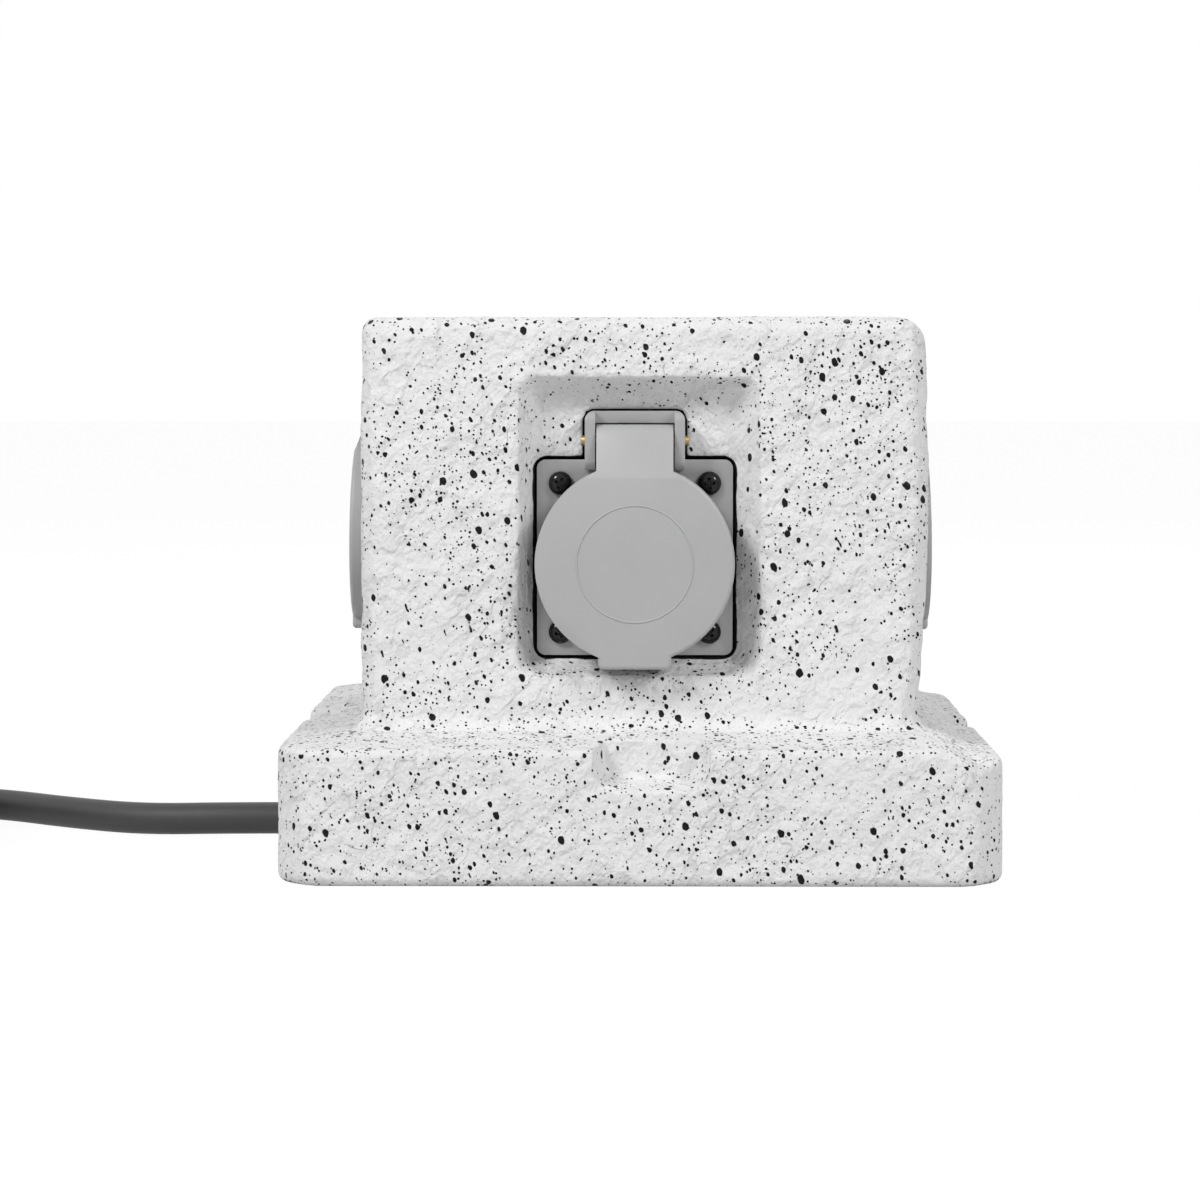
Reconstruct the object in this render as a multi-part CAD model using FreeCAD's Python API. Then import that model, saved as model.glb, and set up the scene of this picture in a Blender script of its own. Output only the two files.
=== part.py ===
# Garden socket: a hollow cast-stone block on a square plinth, with a panel socket under a sprung
# lid on each of its four sides, a base plate, the wiring inside, and a rubber lead with its plug.
# Millimetres. +Z is up, the front faces -Y, and the origin is on the ground under the middle.
import FreeCAD, Part
import math
import os

# Stone casting
plinth_width = 180.0
plinth_edge_height = 34.5
plinth_corner = 11.0
plinth_foot_round = 2.5
plinth_edge_round = 2.0
ledge_rise = 2.5
ledge_hollow = 5.0
ledge_margin = 0.3
overall_height = 142.0
block_width = 141.4
block_corner = 6.0
block_top_round = 4.0
joint_height = 44.0
roof_thickness = 12.0
cavity_corner = 8.0

# Recess that each socket sits in
recess_depth = 8.0
recess_floor_corner = 3.0
recess_mouth_corner = 5.0
floor_margin_left = 0.45
floor_margin_right = 1.3
floor_margin_top = 1.8
floor_margin_bottom = 1.3
flare_left = 3.5
flare_right = 5.2
flare_top = 6.6
flare_bottom = 3.2
pocket_depth = 3.4
pocket_gap = 0.5
socket_wall = 5.4
socket_height = 80.8
socket_shift = -1.3
side_raise = 5.0

# Hollow in the plinth's edge below each socket, where a lead hangs down
notch_width = 30.0
notch_depth = 9.0
notch_height = 10.8
notch_shift = 3.0
notch_taper = 3.0
notch_corner = 5.0

# Socket frame: flange, collar, barrel and hinge frame in one moulding
flange_width = 50.0
flange_thickness = 3.0
flange_corner = 2.2
gasket_thickness = 0.8
collar_radius = 21.5
collar_height = 9.5
well_radius = 19.9
well_depth = 17.5
barrel_radius = 22.0
barrel_bore = 20.6
barrel_depth = 28.0
barrel_gap = 0.5
rib_width = 4.6
rib_reach = 2.2
rib_step = 5.0
hinge_frame_width = 25.3
ear_thickness = 2.6
ear_bottom = 22.6
ear_cover = 3.0
ear_round = 2.5
bar_overlap = 1.0
bar_thickness = 3.0
bar_setback = 1.7

# Screws that hold each flange
screw_pitch = 38.0
screw_head_radius = 3.0
screw_head_height = 2.4
screw_crown = 1.1
screw_flat_radius = 1.9
screw_radius = 1.5
screw_hole_gap = 0.2
screw_bite = 4.6

# Contact carrier, pin contacts and earth spring
carrier_gap = 0.3
carrier_lip = 2.0
pin_pitch = 19.0
pin_hole_radius = 2.6
pin_hole_floor = 3.0
contact_radius = 3.5
contact_bore = 2.5
contact_length = 16.5
contact_tail = 6.0
contact_slit = 0.8
contact_slit_length = 11.0
contact_gap = 0.3
earth_width = 5.0
earth_thickness = 0.8
earth_reach = 9.0
earth_crown = 2.6
earth_crown_drop = 5.5
earth_tip_drop = 11.0
earth_tip_set = 1.2
earth_strip_gap = 0.7

# Lid, hinge pin, seal and spring
hinge_up = 29.96
hinge_out = 9.8
pin_radius = 1.3
pin_stand_out = 1.0
pin_clearance = 0.05
knuckle_radius = 4.1
hinge_gap = 0.35
lid_depth = 14.0
lid_tab_corner = 1.5
lid_radius = 25.2
lid_drop = 0.9
lid_face_out = 18.2
lid_tilt = 1.04
lid_shoulder = 21.7
lid_wall = 1.6
lid_face_wall = 2.0
lid_rim_round = 1.0
skirt_gap = 0.6
top_tab_width = 19.4
bottom_tab_width = 18.5
bottom_tab_reach = 26.6
seal_gap = 0.3
seal_lap = 0.2
spring_gap_width = 9.0
spring_wire = 0.7
spring_turns = 4
spring_pitch = 1.25
spring_gap = 0.3

# Base plate and its screws
plate_thickness = 3.0
plate_recess = 0.6
plate_lap = 8.0
plate_gap = 0.3
plate_screw_inset = 5.5
plate_screw_head = 3.5
plate_screw_head_height = 2.2
plate_screw_radius = 1.75
plate_screw_length = 14.0
plate_screw_shank = 12.8
plate_pilot_gap = 0.1
plate_hole_gap = 0.15
plate_notch_depth = 24.0

# Connection block, cord clamp and wires
block_half_width = 15.0
block_height = 14.0
block_corner_round = 2.0
terminal_screw_radius = 1.4
terminal_screw_reach = 1.2
terminal_screw_depth = 6.0
terminal_pitch = 5.0
terminal_slot_half = 0.3
terminal_slot_depth = 0.8
wire_diameter = 2.4
wire_hole_gap = 0.1
wire_bend = 8.0
wire_entry = 3.0
riser_distance = 12.0
clamp_width = 8.0
clamp_span = 27.0
clamp_strap = 2.5
clamp_screw_radius = 1.5
clamp_screw_head = 2.8
clamp_head_height = 1.8
clamp_edge = 0.5
clamp_gap = 0.1
clamp_middle = -27.0
clamp_lead_in = 11.0
core_spread = 2.9
cord_end_gap = 6.0

# Lead, its sleeve and its plug
cord_diameter = 8.7
cord_exit_height = 5.5
cord_floor_height = 4.4
sleeve_length = 26.0
sleeve_stand_out = 3.0
sleeve_root_radius = 5.25
sleeve_tip_radius = 4.75
sleeve_gap = 0.1
tunnel_gap = 0.25
coil_spacing = 9.3
coil_outer_radius = 59.19
coil_turns_in = 2.0
coil_climb = 0.5
coil_turns_out = 1.75
coil_start_x = -232.0
coil_start_y = 45.0
coil_run_in = 18.3
tail_level = 13.0
tail_rise_start = 28.0
tail_rise = 4.2
tail_rise_end = 40.0
tail_reach = 50.0
sleeve_collar = 2.0
cord_sides = 8
plug_radius = 19.45
plug_face_length = 21.0
plug_grip_radius = 12.0
plug_grip_length = 16.0
plug_neck_radius = 7.5
plug_relief_length = 24.0
plug_relief_radius = 5.2
plug_relief_rings = 4
plug_ring_start = 4.0
plug_ring_pitch = 5.0
plug_ring_width = 1.6
plug_ring_depth = 0.4
plug_grip_swell = 5.6
plug_shoulder_step = 2.0
plug_shoulder_length = 4.0
plug_ground_gap = 0.05
plug_pin_bevel = 0.8
plug_pin_radius = 2.4
plug_pin_length = 19.0
plug_edge_round = 1.2
plug_groove_width = 5.4
plug_groove_depth = 2.6
plug_groove_start = 5.0
plug_strip_width = 4.4
plug_strip_thickness = 0.8
plug_strip_inset = 0.5

side_angles = {"front": 0.0, "right": 90.0, "back": 180.0, "left": 270.0}
side_lifts = {"front": 0.0, "right": side_raise, "back": 0.0, "left": side_raise}

origin = FreeCAD.Vector(0, 0, 0)
along_x = FreeCAD.Vector(1, 0, 0)
along_y = FreeCAD.Vector(0, 1, 0)
along_z = FreeCAD.Vector(0, 0, 1)


def vec(x, y, z):
    return FreeCAD.Vector(x, y, z)


seat_distance = block_width / 2 - recess_depth - pocket_depth
cavity_half = seat_distance - socket_wall
plate_top = plate_recess + plate_thickness
plate_half = cavity_half + plate_lap
flange_back = gasket_thickness
flange_front = flange_back + flange_thickness
collar_front = flange_front + collar_height
well_floor = collar_front - well_depth
frame_top = hinge_up + knuckle_radius + hinge_gap + bar_thickness
frame_half = hinge_frame_width / 2
cord_radius = cord_diameter / 2


def box(x0, x1, y0, y1, z0, z1):
    return Part.makeBox(x1 - x0, y1 - y0, z1 - z0, vec(x0, y0, z0))


def tube(outer, inner, bottom, top, x=0.0, y=0.0):
    """A ring along Z with its ends at two heights."""
    solid = Part.makeCylinder(outer, top - bottom, vec(x, y, bottom))
    return solid.cut(Part.makeCylinder(inner, top - bottom, vec(x, y, bottom)))


def rounded_rectangle(x0, x1, y0, y1, radius, z):
    """A level closed outline of four lines and four quarter arcs."""
    centres = [
        (x1 - radius, y1 - radius, 0),
        (x0 + radius, y1 - radius, 90),
        (x0 + radius, y0 + radius, 180),
        (x1 - radius, y0 + radius, 270),
    ]
    arcs = []
    for cx, cy, start in centres:
        turned = [math.radians(start + step) for step in (0, 45, 90)]
        arcs.append([vec(cx + radius * math.cos(a), cy + radius * math.sin(a), z) for a in turned])
    edges = []
    for index, arc in enumerate(arcs):
        edges.append(Part.Arc(arc[0], arc[1], arc[2]).toShape())
        edges.append(Part.makeLine(arc[2], arcs[(index + 1) % 4][0]))
    return Part.Wire(edges)


def rounded_square(half, radius, z):
    return rounded_rectangle(-half, half, -half, half, radius, z)


def slab(outline, height):
    return Part.Face(outline).extrude(vec(0, 0, height))


def level_edges(shape, z, least_half):
    """The edges that lie at one height, at least so far from the middle."""
    found = []
    for edge in shape.Edges:
        bounds = edge.BoundBox
        reach = max(abs(bounds.XMin), abs(bounds.XMax), abs(bounds.YMin), abs(bounds.YMax))
        if abs(bounds.ZMin - z) < 0.01 and abs(bounds.ZMax - z) < 0.01 and reach > least_half:
            found.append(edge)
    return found


def profile_along_x(points, half_width):
    """A solid from a closed outline given as (y, z) points, centred on x = 0."""
    corners = [vec(-half_width, y, z) for y, z in points]
    face = Part.Face(Part.makePolygon(corners + corners[:1]))
    return face.extrude(vec(2 * half_width, 0, 0))


# A socket is modelled lying on its back: X to its right, Y up the wall, Z out of the wall, from
# the seat in the stone at the flange's middle. This stands it up and puts it on one side.
def on_side(shape, side):
    placed = shape.copy()
    placed.rotate(origin, along_x, 90)
    placed.translate(vec(socket_shift, -seat_distance, socket_height + side_lifts[side]))
    placed.rotate(origin, along_z, side_angles[side])
    return placed


def turned_to_side(shape, side):
    placed = shape.copy()
    placed.rotate(origin, along_z, side_angles[side])
    return placed


def flex_path(points, bend=None):
    """A wire of straight runs joined by tangent arcs. Each arc is as large as its runs allow."""
    runs = len(points) - 1
    edges = []
    start = points[0]
    for index in range(1, runs):
        before = points[index] - points[index - 1]
        after = points[index + 1] - points[index]
        shorter = min(before.Length, after.Length)
        half_turn = before.getAngle(after) / 2
        radius = bend if bend else 0.45 * shorter / math.tan(half_turn)
        setback = radius * math.tan(half_turn)
        before.normalize()
        after.normalize()
        arc_start = points[index] - before * setback
        arc_end = points[index] + after * setback
        inward = after - before
        inward.normalize()
        middle = points[index] + inward * (radius / math.cos(half_turn) - radius)
        edges.append(Part.LineSegment(start, arc_start).toShape())
        edges.append(Part.Arc(arc_start, middle, arc_end).toShape())
        start = arc_end
    edges.append(Part.LineSegment(start, points[-1]).toShape())
    return Part.Wire(edges)


def many_sided(centre, direction, diameter, sides, upright=along_z):
    """A regular outline square to a direction, with one flat side facing down."""
    across = upright.cross(direction)
    across.normalize()
    upward = direction.cross(across)
    upward.normalize()
    corners = []
    for index in range(sides):
        angle = 2 * math.pi * (index + 0.5) / sides + math.pi / 2
        reach = across * math.cos(angle) + upward * math.sin(angle)
        corners.append(centre + reach * (diameter / 2))
    return Part.makePolygon(corners + corners[:1])


def swept(path, section):
    return Part.Wire(path.Edges).makePipeShell([section], True, False)


def arc_leaving(start, tangent, end):
    """The arc from start to end that leaves along a tangent."""
    chord = end - start
    length = chord.Length
    chord.normalize()
    aside = tangent - chord * tangent.dot(chord)
    lean = math.atan2(aside.Length, tangent.dot(chord))
    aside.normalize()
    middle = start + chord * (length / 2) + aside * (length / 2 * math.tan(lean / 2))
    return Part.Arc(start, middle, end).toShape()


def biarc(start, start_tangent, end, end_tangent):
    """Two arcs that meet in one tangent, from one point and heading to another."""
    gap = end - start
    both = start_tangent + end_tangent
    spread = 2 * (1 - start_tangent.dot(end_tangent))
    reach = gap.dot(both)
    step = (-reach + math.sqrt(reach * reach + spread * gap.dot(gap))) / spread
    middle = (start + end + (start_tangent - end_tangent) * step) * 0.5
    first = arc_leaving(start, start_tangent, middle)
    second_back = arc_leaving(end, end_tangent * -1, middle)
    return [first, second_back]


def wound_path(position, turns, steps_per_turn):
    """Biarcs through points of a winding, given as a function of the turns made so far."""
    steps = int(round(turns * steps_per_turn))
    nudge = 0.0005
    points = []
    tangents = []
    for index in range(steps + 1):
        made = turns * index / steps
        points.append(position(made))
        ahead = position(min(made + nudge, turns)) - position(max(made - nudge, 0.0))
        ahead.normalize()
        tangents.append(ahead)
    edges = []
    for index in range(steps):
        edges += biarc(points[index], tangents[index], points[index + 1], tangents[index + 1])
    return points, tangents, edges


# The stone: plinth, sloping ledge and block, with the recesses, hollows, cavity and holes cut in.
# It is cast in two, and the upper casting is bonded on in a level joint above the plinth's cove.
def recess_tool():
    floor_left = -flange_width / 2 - pocket_gap - floor_margin_left
    floor_right = flange_width / 2 + pocket_gap + floor_margin_right
    floor_bottom = -flange_width / 2 - pocket_gap - floor_margin_bottom
    floor_top = frame_top + pocket_gap + floor_margin_top
    past = 1.25
    floor = rounded_rectangle(
        floor_left, floor_right, floor_bottom, floor_top, recess_floor_corner, pocket_depth
    )
    mouth = rounded_rectangle(
        floor_left - flare_left * past,
        floor_right + flare_right * past,
        floor_bottom - flare_bottom * past,
        floor_top + flare_top * past,
        recess_mouth_corner,
        pocket_depth + recess_depth * past,
    )
    return Part.makeLoft([floor, mouth], True, True)


def pocket_tool():
    half = flange_width / 2 + pocket_gap
    corner = flange_corner + pocket_gap
    lower = slab(rounded_rectangle(-half, half, -half, half, corner, 0), pocket_depth + 1)
    side = frame_half + pocket_gap
    upper = slab(rounded_rectangle(-side, side, 0, frame_top + pocket_gap, corner, 0), pocket_depth + 1)
    return lower.fuse(upper)


def socket_holes():
    through = socket_wall + 2
    tools = [Part.makeCylinder(barrel_radius + barrel_gap, through + 1, vec(0, 0, -through))]
    pilot = screw_bite + 0.4
    for x in (-screw_pitch / 2, screw_pitch / 2):
        for y in (-screw_pitch / 2, screw_pitch / 2):
            tools.append(Part.makeCylinder(screw_radius + screw_hole_gap, pilot, vec(x, y, -pilot)))
    return tools


def notch_tool():
    """A tapering hollow, open upwards, drawn upright at the front of the plinth."""
    low = plinth_edge_height - notch_height
    high = plinth_edge_height + ledge_rise + 10
    past = 1.0
    half = notch_width / 2
    front = rounded_rectangle(-half, half, low, high, notch_corner, past)
    inner_half = half - notch_taper
    back = rounded_rectangle(-inner_half, inner_half, low + notch_taper, high, notch_corner, -notch_depth)
    tool = Part.makeLoft([back, front], True, True)
    tool.rotate(origin, along_x, 90)
    tool.translate(vec(notch_shift, -plinth_width / 2, 0))
    return tool


def plate_screw_places():
    place = plate_half - plate_screw_inset
    return [(x, y) for x in (-place, place) for y in (-place, place)]


def eight_sided(half, corner, z):
    """The corners of a level square whose own corners are cut off at 45 degrees."""
    short = half - corner
    outline = []
    for x, y in ((1, 1), (-1, 1), (-1, -1), (1, -1)):
        ends = [vec(x * half, y * short, z), vec(x * short, y * half, z)]
        outline += ends if x == y else ends[::-1]
    return outline


def sloped_slab(low, high):
    """A solid with flat sloping sides between two level outlines with as many corners."""
    faces = [Part.Face(Part.makePolygon(outline + outline[:1])) for outline in (low, high)]
    for index, corner in enumerate(low):
        after = (index + 1) % len(low)
        faces.append(Part.Face(Part.makePolygon([corner, low[after], high[after], high[index], corner])))
    return Part.makeSolid(Part.makeShell(faces))


def ledge():
    """It slopes up from the plinth's rounded edge to a level band at the block's foot."""
    foot_half = plinth_width / 2 - plinth_edge_round
    foot_corner = plinth_corner - plinth_edge_round
    band = ledge_hollow + ledge_margin
    band_half = block_width / 2 + band
    band_corner = (block_corner + band) * (2 - math.sqrt(2))
    return sloped_slab(
        eight_sided(foot_half, foot_corner, plinth_edge_height),
        eight_sided(band_half, band_corner, plinth_edge_height + ledge_rise),
    )


def stone_body():
    half = plinth_width / 2
    plinth = slab(rounded_square(half, plinth_corner, 0), plinth_edge_height)
    plinth = plinth.makeFillet(plinth_foot_round, level_edges(plinth, 0, half - 1))
    plinth = plinth.makeFillet(plinth_edge_round, level_edges(plinth, plinth_edge_height, half - 1))
    block_outline = rounded_square(block_width / 2, block_corner, plinth_edge_height)
    block = slab(block_outline, overall_height - plinth_edge_height)
    block = block.makeFillet(block_top_round, level_edges(block, overall_height, half / 2))
    stone = plinth.fuse([ledge(), block]).removeSplitter()
    foot_edges = [
        edge
        for edge in level_edges(stone, plinth_edge_height + ledge_rise, block_width / 2 - block_corner)
        if max(abs(edge.BoundBox.XMax), abs(edge.BoundBox.XMin)) < block_width / 2 + 0.1
        and max(abs(edge.BoundBox.YMax), abs(edge.BoundBox.YMin)) < block_width / 2 + 0.1
    ]
    stone = stone.makeFillet(ledge_hollow, foot_edges)
    cavity = slab(
        rounded_square(cavity_half, cavity_corner, plate_recess), overall_height - roof_thickness
    )
    rebate = slab(rounded_square(plate_half + plate_gap, cavity_corner, -1), plate_top + 1)
    tools = [cavity, rebate]
    for side in side_angles:
        tools.append(on_side(recess_tool(), side))
        tools.append(on_side(pocket_tool(), side))
        tools += [on_side(hole, side) for hole in socket_holes()]
        tools.append(turned_to_side(notch_tool(), side))
    pilot = plate_screw_radius + plate_pilot_gap
    for x, y in plate_screw_places():
        tools.append(Part.makeCylinder(pilot, plate_screw_length, vec(x, y, plate_top)))
    tunnel = sleeve_root_radius + tunnel_gap
    reach = half - cavity_half + 1
    tools.append(Part.makeCylinder(tunnel, reach, vec(-half - 0.5, 0, cord_exit_height), along_x))
    tools.append(box(-half - 0.5, -half - 0.5 + reach, -tunnel, tunnel, -1, cord_exit_height))
    stone = stone.cut(tools)
    above_joint = box(-half, half, -half, half, joint_height, overall_height + 1)
    return Part.makeCompound([stone.cut(above_joint), stone.common(above_joint)])


# The grey moulding of each socket
def socket_frame():
    half = flange_width / 2
    outline = rounded_rectangle(-half, half, -half, half, flange_corner, flange_back)
    flange = slab(outline, flange_thickness)
    neck = rounded_rectangle(-frame_half, frame_half, 0, frame_top, flange_corner, flange_back)
    frame = flange.fuse(slab(neck, flange_thickness))
    frame = frame.fuse(Part.makeCylinder(collar_radius, collar_height, vec(0, 0, flange_front)))
    frame = frame.fuse(
        Part.makeCylinder(barrel_radius, barrel_depth + flange_back, vec(0, 0, -barrel_depth))
    )
    ear_front = hinge_out + ear_cover
    outline_room = slab(neck, ear_front)
    for x in (-frame_half, frame_half - ear_thickness):
        ear = box(x, x + ear_thickness, ear_bottom, frame_top, flange_back, ear_front)
        front_edges = []
        for edge in ear.Edges:
            centre = edge.BoundBox.Center
            if abs(centre.z - ear_front) < 0.01 and abs(centre.x - x - ear_thickness / 2) < 0.01:
                front_edges.append(edge)
        frame = frame.fuse(ear.makeFillet(ear_round, front_edges).common(outline_room))
    bar_half = frame_half - bar_overlap
    bar_front = hinge_out - bar_setback
    bar = box(-bar_half, bar_half, frame_top - bar_thickness, frame_top, flange_back, bar_front)
    frame = frame.fuse(bar.common(outline_room))
    well = Part.makeCylinder(well_radius, well_depth + 1, vec(0, 0, well_floor))
    bore = Part.makeCylinder(barrel_bore, barrel_depth + well_floor + 1, vec(0, 0, -barrel_depth - 1))
    frame = frame.cut([well, bore, hinge_bore(hinge_frame_width)])
    for x in (-1, 1):
        rib = box(
            min(x * (well_radius - rib_reach), x * (well_radius + 0.5)),
            max(x * (well_radius - rib_reach), x * (well_radius + 0.5)),
            -rib_width / 2,
            rib_width / 2,
            well_floor,
            collar_front - rib_step,
        )
        frame = frame.fuse(rib)
    holes = []
    for x in (-screw_pitch / 2, screw_pitch / 2):
        for y in (-screw_pitch / 2, screw_pitch / 2):
            hole = Part.makeCylinder(screw_radius + screw_hole_gap, flange_thickness, vec(x, y, flange_back))
            holes.append(hole)
    return frame.cut(holes).removeSplitter()


def hinge_bore(width):
    start = vec(-width / 2 - 1, hinge_up, hinge_out)
    return Part.makeCylinder(pin_radius + pin_clearance, width + 2, start, along_x)


def flange_gasket():
    half = flange_width / 2
    outline = rounded_rectangle(-half, half, -half, half, flange_corner, 0)
    sheet = slab(outline, gasket_thickness)
    neck = rounded_rectangle(-frame_half, frame_half, 0, frame_top, flange_corner, 0)
    sheet = sheet.fuse(slab(neck, gasket_thickness)).removeSplitter()
    tools = [Part.makeCylinder(barrel_radius + barrel_gap, gasket_thickness, origin)]
    for x in (-screw_pitch / 2, screw_pitch / 2):
        for y in (-screw_pitch / 2, screw_pitch / 2):
            tools.append(Part.makeCylinder(screw_radius + screw_hole_gap, gasket_thickness, vec(x, y, 0)))
    return sheet.cut(tools)


def flange_screw():
    """A pan head with a sloping rim over a plain shank, turned about Z."""
    head_top = flange_front + screw_head_height
    head_edge = head_top - screw_crown
    outline = [
        vec(0, 0, head_top),
        vec(screw_flat_radius, 0, head_top),
        vec(screw_head_radius, 0, head_edge),
        vec(screw_head_radius, 0, flange_front),
        vec(screw_radius, 0, flange_front),
        vec(screw_radius, 0, -screw_bite),
        vec(0, 0, -screw_bite),
    ]
    return Part.Face(Part.makePolygon(outline + outline[:1])).revolve(origin, along_z, 360)


def flange_screws():
    screws = []
    for x in (-screw_pitch / 2, screw_pitch / 2):
        for y in (-screw_pitch / 2, screw_pitch / 2):
            screw = flange_screw()
            screw.translate(vec(x, y, 0))
            screws.append(screw)
    return Part.makeCompound(screws)


# The insert with the contacts, pushed into the barrel from behind
contact_front = well_floor - pin_hole_floor
carrier_back = -barrel_depth - carrier_lip
contact_back = contact_front - contact_length - contact_tail
strip_outer = well_radius - earth_strip_gap
strip_inner = strip_outer - earth_thickness


def contact_carrier():
    """A body with a chamber for each contact, closed by a cover disc at the bottom of the well."""
    carrier = Part.makeCylinder(
        barrel_bore - carrier_gap, well_floor - carrier_gap + barrel_depth, vec(0, 0, -barrel_depth)
    )
    carrier = carrier.fuse(Part.makeCylinder(barrel_radius, carrier_lip, vec(0, 0, carrier_back)))
    tools = []
    for x in (-pin_pitch / 2, pin_pitch / 2):
        tools.append(Part.makeCylinder(pin_hole_radius, well_depth, vec(x, 0, contact_front - 1)))
        chamber = contact_radius + contact_gap
        depth = contact_front - carrier_back + 1
        tools.append(Part.makeCylinder(chamber, depth, vec(x, 0, carrier_back - 1)))
    notch_half = earth_width / 2 + contact_gap
    low = strip_inner - contact_gap - earth_crown / 2
    high = barrel_radius + 1
    for y0, y1 in ((low, high), (-high, -low)):
        tools.append(box(-notch_half, notch_half, y0, y1, carrier_back - 1, well_floor + 1))
    carrier = carrier.cut(tools)
    cover_room = Part.makeCylinder(barrel_bore, well_floor - contact_front, vec(0, 0, contact_front))
    return Part.makeCompound([carrier.cut(cover_room), carrier.common(cover_room)])


def pin_contacts():
    """Two slit sleeves, each with a solid tail that takes a wire end."""
    contacts = []
    for x in (-pin_pitch / 2, pin_pitch / 2):
        contact = Part.makeCylinder(contact_radius, contact_front - contact_back, vec(x, 0, contact_back))
        grip = Part.makeCylinder(contact_bore, contact_length, vec(x, 0, contact_front - contact_length))
        slit = box(
            x - contact_radius - 1,
            x + contact_radius + 1,
            -contact_slit / 2,
            contact_slit / 2,
            contact_front - contact_slit_length,
            contact_front + 1,
        )
        wire_hole = Part.makeCylinder(
            wire_diameter / 2 + wire_hole_gap, wire_entry + wire_hole_gap, vec(x, 0, contact_back)
        )
        contacts.append(contact.cut([grip, slit, wire_hole]))
    return Part.makeCompound(contacts)


def earth_clips():
    """One bent strip: a strap across the back, and a sprung tongue up each side of the well."""
    tip = earth_reach
    crown = strip_inner - earth_crown
    tongue = [
        (strip_outer, carrier_back - earth_thickness),
        (strip_outer, tip),
        (strip_outer - earth_thickness, tip + earth_thickness),
        (strip_inner - earth_thickness, tip),
        (crown, tip - earth_crown_drop),
        (strip_inner - earth_tip_set, tip - earth_tip_drop),
        (strip_inner - earth_tip_set + earth_thickness, tip - earth_tip_drop),
        (crown + earth_thickness, tip - earth_crown_drop),
        (strip_inner, tip - earth_thickness),
        (strip_inner, carrier_back),
    ]
    mirrored = [(-y, z) for y, z in reversed(tongue)]
    return profile_along_x(tongue + mirrored, earth_width / 2).cut(
        Part.makeCylinder(
            wire_diameter / 2 + wire_hole_gap,
            3 * earth_thickness,
            vec(0, 0, carrier_back - 2 * earth_thickness),
        )
    )


# The lid, which turns on the pin between the two ears
lid_centre = -lid_drop
skirt_edge = flange_front + screw_head_height + skirt_gap
lid_ceiling = lid_face_out - lid_face_wall
shoulder_up = lid_centre + lid_shoulder


def lid_face_at(up):
    return lid_face_out - (up - lid_centre) * math.tan(math.radians(lid_tilt))


def tangent_lean():
    """The angle, from straight out, of the point where the sloping face meets the knuckle."""
    up = shoulder_up - hinge_up
    out = lid_face_at(shoulder_up) - hinge_out
    return math.atan2(up, out) + math.acos(knuckle_radius / math.hypot(up, out))


def knuckle_point(radius, lean):
    return hinge_up + radius * math.sin(lean), hinge_out + radius * math.cos(lean)


def lid_blank():
    footprint = Part.makeCylinder(lid_radius, lid_depth, vec(0, lid_centre, skirt_edge))
    tab = bottom_tab_width / 2
    low = lid_centre - bottom_tab_reach
    lower = rounded_rectangle(-tab, tab, low, lid_centre, lid_tab_corner, skirt_edge)
    footprint = footprint.fuse(slab(lower, lid_depth))
    tab = top_tab_width / 2
    back = hinge_out - knuckle_radius
    upper = box(-tab, tab, lid_centre, hinge_up + knuckle_radius + 1, back, skirt_edge + lid_depth)
    footprint = footprint.fuse(upper)
    lean = tangent_lean()
    bottom = low - 5
    joint_y, joint_z = knuckle_point(knuckle_radius, lean)
    over_y, over_z = knuckle_point(knuckle_radius, (lean + math.pi) / 2)
    rear_y, rear_z = knuckle_point(knuckle_radius, math.pi)
    outline = [
        vec(0, bottom, skirt_edge),
        vec(0, bottom, lid_face_at(bottom)),
        vec(0, shoulder_up, lid_face_at(shoulder_up)),
        vec(0, joint_y, joint_z),
    ]
    edges = [Part.makeLine(a, b) for a, b in zip(outline, outline[1:])]
    rear = vec(0, rear_y, rear_z)
    edges.append(Part.Arc(outline[-1], vec(0, over_y, over_z), rear).toShape())
    under = vec(0, ear_bottom, skirt_edge)
    edges.append(Part.makeLine(rear, under))
    edges.append(Part.makeLine(under, outline[0]))
    side_view = Part.Face(Part.Wire(edges))
    side_view.translate(vec(-lid_radius - 1, 0, 0))
    return footprint.common(side_view.extrude(vec(2 * lid_radius + 2, 0, 0)))


def lid():
    blank = lid_blank()
    rim = []
    for edge in blank.Edges:
        bounds = edge.BoundBox
        face_line = lid_face_at(bounds.Center.y)
        on_face = abs(bounds.Center.z - face_line) < 0.2 and bounds.YMax < shoulder_up - 0.5
        if on_face and bounds.ZLength < 1.5:
            rim.append(edge)
    blank = blank.makeFillet(lid_rim_round, rim)
    inner = lid_radius - lid_wall
    below = 2.0
    depth = lid_ceiling - skirt_edge + below
    hollow = Part.makeCylinder(inner, depth, vec(0, lid_centre, skirt_edge - below))
    lean = tangent_lean()
    slope_y, slope_z = knuckle_point(knuckle_radius - lid_wall, lean)
    start = lid_centre + lid_radius / 2
    floor = hinge_out - knuckle_radius - below
    side = [
        (start, floor),
        (start, lid_ceiling),
        (shoulder_up, lid_ceiling),
        (slope_y, slope_z),
        (slope_y, floor),
    ]
    inside = top_tab_width / 2 - lid_wall
    barrel = Part.makeCylinder(
        knuckle_radius, top_tab_width, vec(-top_tab_width / 2, hinge_up, hinge_out), along_x
    )
    tab_hollow = profile_along_x(side, inside).cut(barrel)
    gap = spring_gap_width / 2
    coil_room = spring_outer + hinge_gap
    coil_space = Part.makeCylinder(coil_room, spring_gap_width, vec(-gap, hinge_up, hinge_out), along_x)
    leg_room = box(-gap, gap, start, hinge_up + knuckle_radius + 1, floor, hinge_out)
    return blank.cut([hollow, tab_hollow, coil_space, leg_room, hinge_bore(top_tab_width)])


def lid_seal():
    outer = collar_radius + seal_lap
    inner = well_radius - seal_lap
    return tube(outer, inner, collar_front + seal_gap, lid_ceiling)


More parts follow.
